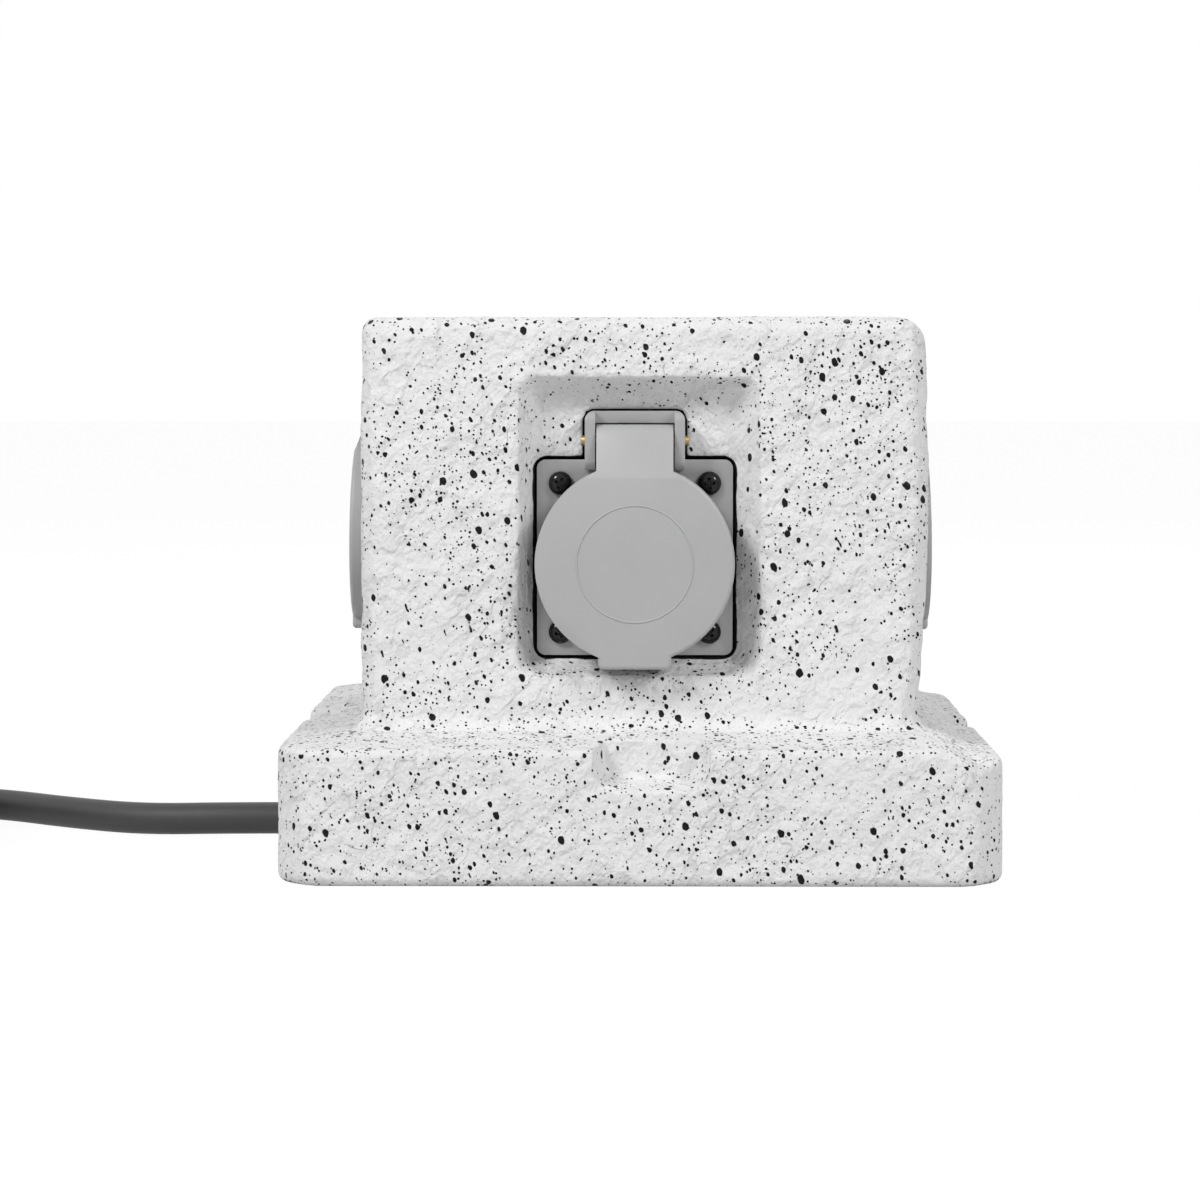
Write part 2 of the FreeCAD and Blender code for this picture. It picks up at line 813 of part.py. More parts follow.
def hinge_pin():
    length = hinge_frame_width + 2 * pin_stand_out
    return Part.makeCylinder(pin_radius, length, vec(-length / 2, hinge_up, hinge_out), along_x)


spring_mean = pin_radius + spring_gap + spring_wire / 2
spring_outer = spring_mean + spring_wire / 2


def lid_spring():
    """A wound spring on the pin: one leg runs back to the frame, the other end stops at the knuckle."""
    length = spring_turns * spring_pitch

    def position(made):
        angle = 2 * math.pi * made - math.pi / 2
        return vec(
            -length / 2 + spring_pitch * made,
            hinge_up + spring_mean * math.sin(angle),
            hinge_out + spring_mean * math.cos(angle),
        )

    points, tangents, edges = wound_path(position, spring_turns, 4)
    foot = flange_front + spring_gap
    reach = (points[0].z - foot) / tangents[0].z
    leg_end = points[0] - tangents[0] * reach
    tail_end = points[-1] + tangents[-1] * spring_wire
    edges = [Part.makeLine(leg_end, points[0])] + edges + [Part.makeLine(points[-1], tail_end)]
    path = Part.Wire(Part.__sortEdges__(edges))
    section = many_sided(leg_end, tangents[0], spring_wire, 6, along_x)
    return swept(path, section)


# Base plate, closing the cavity from below
def base_plate():
    plate = slab(rounded_square(plate_half, cavity_corner, plate_recess), plate_thickness)
    tools = []
    for x, y in plate_screw_places():
        tools.append(plate_screw(plate_hole_gap, x, y))
    half = sleeve_root_radius + 2 * tunnel_gap
    reach = -plate_half + plate_notch_depth
    tools.append(box(-plate_half - 1, reach, -half, half, 0, plate_top + 1))
    tools.append(Part.makeCylinder(half, plate_top + 1, vec(reach, 0, 0)))
    return plate.cut(tools)


def plate_screw(grown, x, y):
    """A countersunk screw, or the hole for it when it is grown by a clearance."""
    head = Part.makeCone(
        plate_screw_head + grown,
        plate_screw_radius + grown,
        plate_screw_head_height,
        vec(x, y, plate_recess),
    )
    shank = Part.makeCylinder(
        plate_screw_radius + grown, plate_screw_shank, vec(x, y, plate_recess + plate_screw_head_height)
    )
    return head.fuse(shank)


def base_screws():
    return Part.makeCompound([plate_screw(0.0, x, y) for x, y in plate_screw_places()])


# Connection block in the middle of the plate, with twelve ways out and three in
wire_places = (socket_shift - pin_pitch / 2, socket_shift, socket_shift + pin_pitch / 2)
feeder_places = (-core_spread, 0.0, core_spread)
cord_inside_height = plate_top + cord_radius + clamp_gap
cord_end_x = -block_half_width - cord_end_gap


def connection_block():
    half = block_half_width
    block = slab(rounded_square(half, block_corner_round, plate_top), block_height)
    top = plate_top + block_height
    hole = wire_diameter / 2 + wire_hole_gap
    tools = []
    depth = wire_entry + wire_hole_gap
    for side in side_angles:
        for x in wire_places:
            riser_hole = Part.makeCylinder(hole, depth, vec(x, -riser_distance, top - depth))
            tools.append(turned_to_side(riser_hole, side))
    for y in feeder_places:
        tools.append(Part.makeCylinder(hole, depth, vec(-half, y, cord_inside_height), along_x))
    for x, y in terminal_screw_places():
        start = vec(x, y, top - terminal_screw_depth)
        tools.append(Part.makeCylinder(terminal_screw_radius + wire_hole_gap, terminal_screw_depth, start))
    return block.cut(tools)


def terminal_screw_places():
    steps = (-terminal_pitch, 0.0, terminal_pitch)
    return [(x, y) for x in steps for y in steps]


def terminal_screws():
    """Slotted grub screws that stand a little out of the block."""
    top = plate_top + block_height
    head = top + terminal_screw_reach
    length = terminal_screw_depth + terminal_screw_reach
    reach = terminal_screw_radius + 1
    screws = []
    for x, y in terminal_screw_places():
        screw = Part.makeCylinder(terminal_screw_radius, length, vec(x, y, top - terminal_screw_depth))
        slot = box(
            x - reach,
            x + reach,
            y - terminal_slot_half,
            y + terminal_slot_half,
            head - terminal_slot_depth,
            head + 1,
        )
        screws.append(screw.cut(slot))
    return Part.makeCompound(screws)


def socket_wires(side):
    """Line, neutral and earth: each rises from the block and bends into its contact."""
    wires = []
    bottom = plate_top + block_height - wire_entry
    turn = socket_height + side_lifts[side]
    for x in wire_places:
        if x == socket_shift:
            end = seat_distance + carrier_back
        else:
            end = seat_distance + contact_back + wire_entry
        points = [
            vec(x, -riser_distance, bottom),
            vec(x, -riser_distance, turn),
            vec(x, -end, turn),
        ]
        path = flex_path(points, wire_bend)
        wires.append(swept(path, many_sided(points[0], along_z, wire_diameter, 6, along_y)))
    return turned_to_side(Part.makeCompound(wires), side)


def feeder_wires():
    """The lead's own three cores, from its cut end to the connection block."""
    length = cord_end_gap + wire_entry
    wires = []
    for y in feeder_places:
        start = vec(cord_end_x, y, cord_inside_height)
        wires.append(Part.makeCylinder(wire_diameter / 2, length, start, along_x))
    return Part.makeCompound(wires)


# The lead from the sleeve inwards, its sleeve and its clamp
exit_x = -plinth_width / 2


def cord_sleeve():
    """A rubber sleeve, thicker towards its root, in the tunnel through the plinth."""
    outer_end = vec(exit_x - sleeve_stand_out, 0, cord_exit_height)
    inner_end = outer_end + along_x * sleeve_length
    sleeve = Part.makeCone(sleeve_tip_radius, sleeve_root_radius, sleeve_length, outer_end, along_x)
    sleeve = sleeve.fuse(Part.makeCylinder(sleeve_root_radius, sleeve_collar, inner_end, along_x))
    bore_length = sleeve_length + sleeve_collar + 2
    bore = Part.makeCylinder(cord_radius + sleeve_gap, bore_length, outer_end - along_x, along_x)
    return sleeve.cut(bore)


def cord_inner():
    points = [
        vec(exit_x, 0, cord_exit_height),
        vec(-cavity_half - 2, 0, cord_exit_height),
        vec(clamp_middle - clamp_lead_in, 0, cord_inside_height),
        vec(cord_end_x, 0, cord_inside_height),
    ]
    return swept(flex_path(points), round_section(points[0], along_x, cord_radius))


def round_section(centre, direction, radius):
    return Part.Wire(Part.makeCircle(radius, centre, direction))


def cord_clamp():
    """A saddle over the lead, with a foot screwed down on each side."""
    x0 = clamp_middle - clamp_width / 2
    half = clamp_span / 2
    outer = cord_radius + clamp_gap + clamp_strap
    arch = Part.makeCylinder(outer, clamp_width, vec(x0, 0, cord_inside_height), along_x)
    arch = arch.fuse(box(x0, x0 + clamp_width, -outer, outer, plate_top, cord_inside_height))
    arch = arch.common(box(x0, x0 + clamp_width, -outer, outer, plate_top, cord_inside_height + outer))
    body = arch.fuse(box(x0, x0 + clamp_width, -half, half, plate_top, plate_top + clamp_strap))
    lead_room = Part.makeCylinder(
        cord_radius + clamp_gap, clamp_width + 2, vec(x0 - 1, 0, cord_inside_height), along_x
    )
    reach = cord_radius + clamp_gap
    tools = [
        lead_room,
        box(x0 - 1, x0 + clamp_width + 1, -reach, reach, plate_top - 1, cord_inside_height),
    ]
    for y in clamp_screw_places():
        start = vec(clamp_middle, y, plate_top - 1)
        tools.append(Part.makeCylinder(clamp_screw_radius + clamp_gap, clamp_strap + 2, start))
    return body.cut(tools).removeSplitter()


def clamp_screw_places():
    place = clamp_span / 2 - clamp_screw_head - clamp_edge
    return (-place, place)


def clamp_screws():
    screws = []
    for y in clamp_screw_places():
        shank = Part.makeCylinder(clamp_screw_radius, clamp_strap, vec(clamp_middle, y, plate_top))
        head = Part.makeCylinder(
            clamp_screw_head, clamp_head_height, vec(clamp_middle, y, plate_top + clamp_strap)
        )
        screws.append(shank.fuse(head).removeSplitter())
    return Part.makeCompound(screws)


# The free lead: straight out, down to the ground, along it, and into a coil
cord_route = [
    vec(exit_x, 0, cord_exit_height),
    vec(-112, 0, cord_exit_height),
    vec(-137, 5, cord_floor_height),
    vec(-160, 19.5, cord_floor_height),
    vec(-182, 38, cord_floor_height),
]


def cord_section(centre, direction):
    return many_sided(centre, direction, cord_diameter, cord_sides)


def cord_run(coil_start, coil_heading):
    route = cord_route + [coil_start - coil_heading * coil_run_in, coil_start]
    print("cord route", [tuple(round(v, 2) for v in point) for point in route])
    path = flex_path(route)
    return swept(path, cord_section(route[0], along_x * -1)), path.Length


def coil_position(made):
    """Spiral in on the ground, climb a layer in the half turn of the reversal, spiral out on top."""
    reversal = coil_turns_in + coil_climb / 2
    inward = min(made, 2 * reversal - made)
    radius = coil_outer_radius - coil_spacing * inward
    share = min(max((made - coil_turns_in) / coil_climb, 0.0), 1.0)
    lift = coil_spacing * (1 - math.cos(math.pi * share)) / 2
    angle = math.pi / 2 + 2 * math.pi * made
    return vec(
        coil_start_x + radius * math.cos(angle),
        coil_start_y + radius * math.sin(angle) - coil_outer_radius,
        cord_floor_height + lift,
    )


coil_turns = coil_turns_in + coil_climb + coil_turns_out
points_per_turn = 36


def cord_coil():
    """The winding with a straight cord's width at each end, its length and its two ends."""
    points, tangents, edges = wound_path(coil_position, coil_turns, 4)
    start = points[0] - tangents[0] * cord_diameter
    end = points[-1] + tangents[-1] * cord_diameter
    edges = [Part.makeLine(start, points[0])] + edges + [Part.makeLine(points[-1], end)]
    path = Part.Wire(Part.__sortEdges__(edges))
    solid = swept(path, cord_section(start, tangents[0]))
    places = path.discretize(int(coil_turns * points_per_turn))
    apart = points_per_turn // 2
    least = min(
        (place - other).Length
        for index, place in enumerate(places)
        for other in places[index + apart:]
    )
    print("coil's least gap to itself", round(least - cord_diameter, 2))
    return solid, path.Length, (start, tangents[0]), (end, tangents[-1])


def tail_route(start, heading):
    """From the top of the coil to the plug, which lies on its side beside it."""
    lift = plug_radius + plug_ground_gap - start.z
    return [
        start,
        start + heading * tail_level,
        start + heading * tail_rise_start + vec(0, 0, tail_rise),
        start + heading * tail_rise_end + vec(0, 0, lift),
        start + heading * tail_reach + vec(0, 0, lift),
    ]


def cord_tail(start, tangent):
    heading = vec(tangent.x, tangent.y, 0)
    heading.normalize()
    route = tail_route(start, heading)
    print("tail route", [tuple(round(v, 2) for v in point) for point in route])
    path = flex_path(route)
    return swept(path, cord_section(route[0], heading)), path.Length, route[-1], heading


# The plug, modelled along +Z from the end of its strain relief and laid where the lead ends
plug_body_start = plug_relief_length + plug_grip_length
plug_face = plug_body_start + plug_face_length


def plug_body():
    relief_end = plug_relief_length
    points = [
        (0, 0),
        (plug_relief_radius, 0),
        (plug_neck_radius, relief_end),
        (plug_grip_radius, relief_end + plug_grip_swell),
        (plug_grip_radius, plug_body_start - plug_shoulder_step),
        (plug_radius - plug_shoulder_step, plug_body_start + plug_shoulder_step / 2),
        (plug_radius, plug_body_start + plug_shoulder_length),
        (plug_radius, plug_face - plug_edge_round),
        (plug_radius - plug_edge_round, plug_face),
        (0, plug_face),
    ]
    corners = [vec(r, 0, s) for r, s in points]
    body = Part.Face(Part.makePolygon(corners + corners[:1])).revolve(origin, along_z, 360)
    half = plug_groove_width / 2
    reach = plug_radius - plug_groove_depth
    start = plug_body_start + plug_groove_start
    tools = []
    for angle in (0, 90, 180, 270):
        groove = box(reach, plug_radius + 1, -half, half, start, plug_face + 1)
        groove.rotate(origin, along_z, angle)
        tools.append(groove)
    for index in range(plug_relief_rings):
        ring_start = plug_ring_start + index * plug_ring_pitch
        ring_end = ring_start + plug_ring_width
        tools.append(tube(plug_radius, plug_relief_radius - plug_ring_depth, ring_start, ring_end))
    return body.cut(tools)


def plug_pins():
    """Two round pins with rounded ends, set into the plug's face."""
    pins = []
    for x in (-pin_pitch / 2, pin_pitch / 2):
        pin = Part.makeCylinder(plug_pin_radius, plug_pin_length, vec(x, 0, plug_face))
        end = level_edges(pin, plug_face + plug_pin_length, 0)
        pins.append(pin.makeChamfer(plug_pin_bevel, end))
    return Part.makeCompound(pins)


def plug_earth_strips():
    """A sprung strip in the top and in the bottom groove."""
    floor = plug_radius - plug_groove_depth
    strips = []
    for turn in (0, 180):
        strip = box(
            -plug_strip_width / 2,
            plug_strip_width / 2,
            floor,
            floor + plug_strip_thickness,
            plug_body_start + plug_groove_start,
            plug_face - plug_strip_inset,
        )
        strip.rotate(origin, along_z, turn)
        strips.append(strip)
    return Part.makeCompound(strips)


def laid_plug(shape, place, heading):
    laid = shape.copy()
    laid.rotate(origin, along_x, 90)
    turn = math.degrees(math.atan2(heading.y, heading.x)) + 90
    laid.rotate(origin, along_z, turn)
    laid.translate(place)
    return laid


def save(name, shape):
    valid = "" if shape.isValid() else "INVALID"
    print(name, len(shape.Solids), round(shape.Volume, 1), valid)
    shape.exportStep(os.path.join("parts", name + ".step"))


os.makedirs("parts", exist_ok=True)
save("stone_body", stone_body())
socket_pieces = {
    "socket_frame": socket_frame(),
    "flange_gasket": flange_gasket(),
    "flange_screws": flange_screws(),
    "contact_carrier": contact_carrier(),
    "pin_contacts": pin_contacts(),
    "earth_clips": earth_clips(),
    "lid": lid(),
    "lid_seal": lid_seal(),
    "hinge_pin": hinge_pin(),
    "lid_spring": lid_spring(),
}
for side in side_angles:
    for piece, shape in socket_pieces.items():
        save(side + "_" + piece, on_side(shape, side))
    save(side + "_wires", socket_wires(side))
save("base_plate", base_plate())
save("base_screws", base_screws())
save("connection_block", connection_block())
save("terminal_screws", terminal_screws())
save("feeder_wires", feeder_wires())
save("cord_sleeve", cord_sleeve())
save("cord_inner", cord_inner())
save("cord_clamp", cord_clamp())
save("clamp_screws", clamp_screws())
coil_solid, coil_length, coil_start, coil_end = cord_coil()
run_solid, run_length = cord_run(*coil_start)
tail_solid, tail_length, plug_place, plug_heading = cord_tail(*coil_end)
save("cord_run", run_solid)
save("cord_coil", coil_solid)
save("cord_tail", tail_solid)
print("free cord length", round(run_length + coil_length + tail_length, 1))
save("plug_body", laid_plug(plug_body(), plug_place, plug_heading))
save("plug_pins", laid_plug(plug_pins(), plug_place, plug_heading))
save("plug_earth_strips", laid_plug(plug_earth_strips(), plug_place, plug_heading))
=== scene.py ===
import math

import bmesh
import bpy
import numpy as np
from mathutils import Euler, Matrix, Vector, noise


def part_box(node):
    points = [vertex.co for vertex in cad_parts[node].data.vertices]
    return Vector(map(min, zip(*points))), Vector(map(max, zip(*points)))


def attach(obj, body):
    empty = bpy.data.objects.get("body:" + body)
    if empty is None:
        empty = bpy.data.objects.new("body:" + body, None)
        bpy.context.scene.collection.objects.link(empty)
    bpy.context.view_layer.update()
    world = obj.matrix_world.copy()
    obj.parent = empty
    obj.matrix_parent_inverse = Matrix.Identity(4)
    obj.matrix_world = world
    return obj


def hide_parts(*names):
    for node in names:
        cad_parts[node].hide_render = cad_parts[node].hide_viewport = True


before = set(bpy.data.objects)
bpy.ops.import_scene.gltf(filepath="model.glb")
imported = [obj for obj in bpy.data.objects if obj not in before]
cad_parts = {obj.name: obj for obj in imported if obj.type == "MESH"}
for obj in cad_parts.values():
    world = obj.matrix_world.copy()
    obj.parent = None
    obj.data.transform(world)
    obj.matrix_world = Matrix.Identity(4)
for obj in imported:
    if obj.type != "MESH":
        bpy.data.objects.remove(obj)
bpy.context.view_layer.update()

# The stone: a hollow block bonded to its plinth, both cast in white mineral mortar in rubber moulds, so
# the faces swell and dip a little and the edges are soft. They are painted white, then spattered with
# black by a brush. Their level joint is painted over and doesn't show.


class Link:
    """A shader socket that is used in sums like a number or a vector."""

    def __init__(self, finish, socket):
        self.finish = finish
        self.socket = socket

    def maths(self, operation, first, second):
        if self.socket.type in ("VECTOR", "RGBA"):
            kind = "ShaderNodeVectorMath"
        else:
            kind = "ShaderNodeMath"
        return self.finish.node(kind, {"operation": operation}, {0: first, 1: second})

    def __add__(self, other):
        return self.maths("ADD", self, other)

    __radd__ = __add__

    def __sub__(self, other):
        return self.maths("SUBTRACT", self, other)

    def __rsub__(self, other):
        return self.maths("SUBTRACT", other, self)

    def __mul__(self, other):
        return self.maths("MULTIPLY", self, other)

    __rmul__ = __mul__

    def larger(self, other):
        return self.maths("MAXIMUM", self, other)

    def unsigned(self):
        return self.larger(0 - self)

    def sign(self):
        return self.maths("SIGN", self, 0.0)

    def root(self):
        return self.maths("POWER", self, 0.5)

    def scaled(self, factor):
        settings = {"operation": "SCALE"}
        return self.finish.node("ShaderNodeVectorMath", settings, {0: self, "Scale": factor})

    def along(self, direction):
        settings = {"operation": "DOT_PRODUCT"}
        return self.finish.node("ShaderNodeVectorMath", settings, {0: self, 1: direction}, "Value")

    def rising(self, low, high):
        """0 up to low, 1 from high on, and a smooth step between them."""
        limits = {"Value": self, "From Min": low, "From Max": high}
        return self.finish.node("ShaderNodeMapRange", {"interpolation_type": "SMOOTHSTEP"}, limits)

    def falling(self, low, high):
        return 1 - self.rising(low, high)

    def output(self, name):
        return Link(self.finish, self.socket.node.outputs[name])


class Nodes:
    """The shader nodes of a material or of the studio."""

    def __init__(self, tree):
        self.tree = tree

    def node(self, kind, settings=None, inputs=None, output=0):
        made = self.tree.nodes.new(kind)
        for name, value in (settings or {}).items():
            setattr(made, name, value)
        for name, value in (inputs or {}).items():
            self.feed(made.inputs[name], value)
        return Link(self, made.outputs[output])

    def feed(self, socket, value):
        if isinstance(value, Link):
            self.tree.links.new(value.socket, socket)
        else:
            socket.default_value = value


class Finish(Nodes):
    """A material, with the place on the object in metres as the start of every pattern."""

    def __init__(self, name):
        self.material = bpy.data.materials.new(name)
        self.material.use_nodes = True
        super().__init__(self.material.node_tree)
        self.shader = self.tree.nodes["Principled BSDF"]
        self.place = self.node("ShaderNodeTexCoord", output="Object")

    def set(self, **values):
        """Socket names as on the shader, with underscores for spaces."""
        for name, value in values.items():
            self.feed(self.shader.inputs[name.replace("_", " ")], value)

    def stretch(self, direction, share):
        """What to take from a place, so that a pattern there is drawn out along a direction."""
        settings = {"operation": "SCALE"}
        inputs = {0: direction, "Scale": self.place.along(direction) * share}
        return self.node("ShaderNodeVectorMath", settings, inputs)

    def grain(self, size, detail=2.0, place=None, output="Fac"):
        """Noise whose lumps are about one size across, in metres."""
        inputs = {"Vector": place or self.place, "Scale": 1 / size, "Detail": detail}
        return self.node("ShaderNodeTexNoise", None, inputs, output)

    def cells(self, size, place=None, feature="F1"):
        inputs = {"Vector": place or self.place, "Scale": 1 / size}
        return self.node("ShaderNodeTexVoronoi", {"feature": feature}, inputs, "Distance")

    def part(self, colour, channel):
        return self.node("ShaderNodeSeparateColor", None, {0: colour}, channel)

    def blend(self, share, first, second):
        """A colour that goes from the first to the second as share goes from 0 to 1."""
        inputs = {"Factor": share, 6: first, 7: second}
        return self.node("ShaderNodeMix", {"data_type": "RGBA"}, inputs, 2)

    def relief(self, height, depth, strength=1.0):
        """Bumps as deep as depth, in metres, where height goes from 0 to 1."""
        inputs = {"Height": height, "Distance": depth, "Strength": strength}
        self.set(Normal=self.node("ShaderNodeBump", None, inputs, "Normal"))


def grey(level):
    return (level, level, level, 1.0)


def spatter(stone, place, cell, smallest, largest, share):
    """Drops of paint in a share of the cells. Most are small, and a few come near the largest size."""
    centre = stone.cells(cell, place)
    chance = centre.output("Color")
    size = stone.part(chance, "Red")
    radius = size * size * ((largest - smallest) / cell) + smallest / cell
    present = stone.part(chance, "Green").falling(share, share + 0.001)
    soft_edge = 0.00008 / cell
    return (radius - centre).rising(-soft_edge / 2, soft_edge / 2) * present


# Each socket sits a little to the left on its wall, and those at the two sides sit higher.
socket_right = -0.0013
socket_up = 0.0808
side_socket_rise = 0.0050
flange_half = 0.0255
flange_corner = 0.0032


def past_the_flange(stone, right, back, up):
    """How far a place on a wall lies outside the straight part of its flange's outline."""
    on_side = (right.unsigned() - back.unsigned()).rising(-0.001, 0.001)
    along = on_side * back * right.sign() - (1 - on_side) * right * back.sign()
    aside = along - socket_right
    above = up - socket_up - on_side * side_socket_rise
    straight_half = flange_half - flange_corner
    past_side = (aside.unsigned() - straight_half).larger(0.0)
    past_end = (above.unsigned() - straight_half).larger(0.0)
    waver = stone.grain(0.005, 1.0) * 0.0007
    return (past_side * past_side + past_end * past_end).root() - waver


def stone_finish():
    stone = Finish("cast_stone")
    place = stone.place
    middle_grey = (0.5, 0.5, 0.5)
    thrown = Vector((0.30, 0.30, -0.90)).normalized()
    flicked = Vector((0.50, -0.50, 0.70)).normalized()
    wander = stone.grain(0.0016, 1.0, output="Color") - middle_grey
    ragged = place + wander.scaled(0.0006)
    drawn = ragged - stone.stretch(thrown, 0.30)
    drawn_far = ragged - stone.stretch(thrown, 0.76)
    flicked_far = ragged - stone.stretch(flicked, 0.76)

    # Where on the stone: its upward faces, the recesses, and the pockets that the flanges sit in.
    level = place.output("Normal").along((0.0, 0.0, 1.0)).rising(0.25, 0.75)
    right = place.along((1.0, 0.0, 0.0))
    back = place.along((0.0, 1.0, 0.0))
    up = place.along((0.0, 0.0, 1.0))
    out = right.unsigned().larger(back.unsigned())
    under_roof = up.falling(0.1262, 0.1268) * up.rising(0.048, 0.052)
    recess = out.falling(0.0672, 0.0695) * under_roof
    # The pocket's wall, painted near-black below as shade in the gap round the flange.
    pocket = out.falling(0.0618, 0.0624) * under_roof
    past_flange = past_the_flange(stone, right, back, up)
    beside_flange = past_flange.falling(flange_corner + 0.0001, flange_corner + 0.0003)
    # A thin line just outside each flange, painted near-black below as shade in the gap.
    painted_gap_shade_line = beside_flange * out.falling(0.0640, 0.0646) * under_roof
    seat = past_flange.falling(flange_corner + 0.0015, flange_corner + 0.0018) * recess

    # The black spatter is denser in some patches and on the ledge, and thin in the recesses.
    crowd = stone.grain(0.030, 2.0).rising(0.38, 0.62).larger(level) - 0.9 * recess
    blots = spatter(stone, drawn, 0.0038, 0.00040, 0.00092, 0.56 + 0.40 * crowd)
    drops = spatter(stone, drawn, 0.0020, 0.00026, 0.00058, 0.46 + 0.50 * crowd)
    specks = spatter(stone, ragged, 0.00105, 0.00010, 0.00035, 0.40 + 0.50 * crowd)
    falls = spatter(stone, drawn_far, 0.0020, 0.00014, 0.00030, 0.30)
    flicks = spatter(stone, flicked_far, 0.0022, 0.00014, 0.00030, 0.22)
    paint = blots.larger(drops).larger(specks).larger(falls).larger(flicks)

    # The white coat has cloudy patches, worn spots, folds from the mould drawn darker grey along their
    # sunk creases, and a few hair cracks.
    cloudy = stone.grain(0.018, 3.0)
    worn = stone.grain(0.0022, 4.0)
    wrinkle = stone.grain(0.006, 5.0, drawn)
    ridges = stone.grain(0.0035, 3.0, place - stone.stretch(flicked, 0.65))
    bend = stone.grain(0.008, 3.0, place - stone.stretch(flicked, 0.55)) - 0.5
    fold = bend.unsigned().falling(0.0, 0.045) * stone.grain(0.016, 2.0).rising(0.42, 0.62)
    crack_place = place + (stone.grain(0.02, 3.0, output="Color") - middle_grey).scaled(0.03)
    crack_line = stone.cells(0.060, crack_place, "DISTANCE_TO_EDGE").falling(0.0, 0.0026)
    crack = crack_line * stone.grain(0.03, 2.0).rising(0.62, 0.70)
    white = stone.blend(cloudy, grey(0.80), grey(0.86))
    white = stone.blend(worn.rising(0.62, 0.8) * 0.25, white, grey(0.60))
    white = stone.blend(fold * 0.35, white, grey(0.58))
    white = stone.blend(crack * 0.50, white, grey(0.35))
    black = stone.blend(worn.rising(0.5, 0.75), grey(0.006), grey(0.020))
    dotted = stone.blend(paint, white, black)

    # Painted shade: round each flange the pocket's wall and a thin line just outside it are painted
    # near-black to darken the gap, with a low moulded seat beyond it.
    rubber = pocket.larger(painted_gap_shade_line)
    stone.set(Base_Color=stone.blend(rubber, dotted, grey(0.010)))
    stone.set(Roughness=0.78 - 0.36 * paint)
    stone.shader.inputs["Specular IOR Level"].default_value = 0.12
    height = wrinkle * 0.42 + ridges * 0.36 + worn * 0.22 + seat * 0.07
    height = height + paint * 0.03 - fold * 0.05 - crack * 0.12
    stone.relief(height, 0.0042, 0.80)
    return stone.material


def side_places(points):
    """For each point: how far it lies out from the middle, along its own face, and its height."""
    across = np.abs(points[:, 0]) > np.abs(points[:, 1])
    out = np.where(across, np.abs(points[:, 0]), np.abs(points[:, 1]))
    turned = np.where(points[:, 0] > 0, points[:, 1], -points[:, 1])
    facing = np.where(points[:, 1] < 0, points[:, 0], -points[:, 0])
    return out, np.where(across, turned, facing), points[:, 2], across


def smooth_step(value, low, high):
    share = np.clip((value - low) / (high - low), 0.0, 1.0)
    return share * share * (3 - 2 * share)


def noise_at(points, size, octaves):
    return np.array([noise.fractal(Vector(point) / size, 0.9, 2.1, octaves) for point in points])


def outside_box(right, up, left_end, right_end, bottom, top):
    """How far places lie outside a box on the wall, and less than 0 inside it."""
    over = np.maximum(left_end - right, right - right_end)
    above = np.maximum(bottom - up, up - top)
    return np.hypot(np.maximum(over, 0), np.maximum(above, 0)) + np.minimum(np.maximum(over, above), 0)


def softened(mesh, points, weight, rounds):
    """The points drawn towards the middle of their neighbours, by their weights."""
    edges = np.empty(len(mesh.edges) * 2, np.int32)
    mesh.edges.foreach_get("vertices", edges)
    one, other = edges.reshape(-1, 2).T
    moving = (weight[one] > 0) | (weight[other] > 0)
    one, other = one[moving], other[moving]
    size = len(points)
    count = np.bincount(one, minlength=size) + np.bincount(other, minlength=size)
    for _ in range(rounds):
        for axis in range(3):
            values = points[:, axis]
            total = np.bincount(one, values[other], size) + np.bincount(other, values[one], size)
            values += weight * (total / np.maximum(count, 1) - values)
    return points


def put(name, data):
    thing = bpy.data.objects.new(name, data)
    bpy.context.scene.collection.objects.link(thing)
    return thing


def shade_smooth(mesh):
    mesh.polygons.foreach_set("use_smooth", [True] * len(mesh.polygons))


def vertex_values(mesh, name):
    values = np.empty(len(mesh.vertices) * 3, np.float32)
    mesh.vertices.foreach_get(name, values)
    return values.reshape(-1, 3)


def one_skin():
    """The two castings as one skin, without their joint, in small faces of one size."""
    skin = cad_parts["stone_body"].data.copy()
    shell = bmesh.new()
    shell.from_mesh(skin)
    joint_height = 0.044
    hidden = [
        face for face in shell.faces
        if all(abs(corner.co.z - joint_height) < 0.00002 for corner in face.verts)
    ]
    bmesh.ops.delete(shell, geom=hidden, context="FACES")
    bmesh.ops.remove_doubles(shell, verts=shell.verts, dist=0.00001)
    shell.to_mesh(skin)
    shell.free()
    true_skin = put("true_skin", skin)
    stone = put("stone_casting", skin.copy())
    even = stone.modifiers.new("even faces", "REMESH")
    even.mode = "VOXEL"
    even.voxel_size = 0.0009
    true = stone.modifiers.new("true shape", "SHRINKWRAP")
    true.target = true_skin
    true.wrap_method = "NEAREST_SURFACEPOINT"
    made = stone.evaluated_get(bpy.context.evaluated_depsgraph_get())
    stone.data = bpy.data.meshes.new_from_object(made)
    stone.modifiers.clear()
    bpy.data.objects.remove(true_skin)
    return stone


stone = one_skin()
mesh = stone.data
points = vertex_values(mesh, "co").astype(float)
normals = vertex_values(mesh, "normal")
out, along, height, across = side_places(points)
block_half = 0.0707
recess_depth = 0.0083
depth = block_half - out

# The floor of each recess runs into its walls, but for a sharp edge round the flange and the hinge.
hinge_half = 0.0132
hinge_top = 0.0379
beside = along - socket_right
above = height - np.where(across, socket_up + side_socket_rise, socket_up)
flange = outside_box(beside, above, -flange_half, flange_half, -flange_half, flange_half)
hinge = outside_box(beside, above, -hinge_half, hinge_half, 0.0, hinge_top)
clear = smooth_step(np.minimum(flange, hinge), 0.0002, 0.0016)
in_recess = smooth_step(depth, 0.0014, 0.0032) * (depth < recess_depth) * (height < 0.128)
points = softened(mesh, points, 0.6 * clear * in_recess, 36)

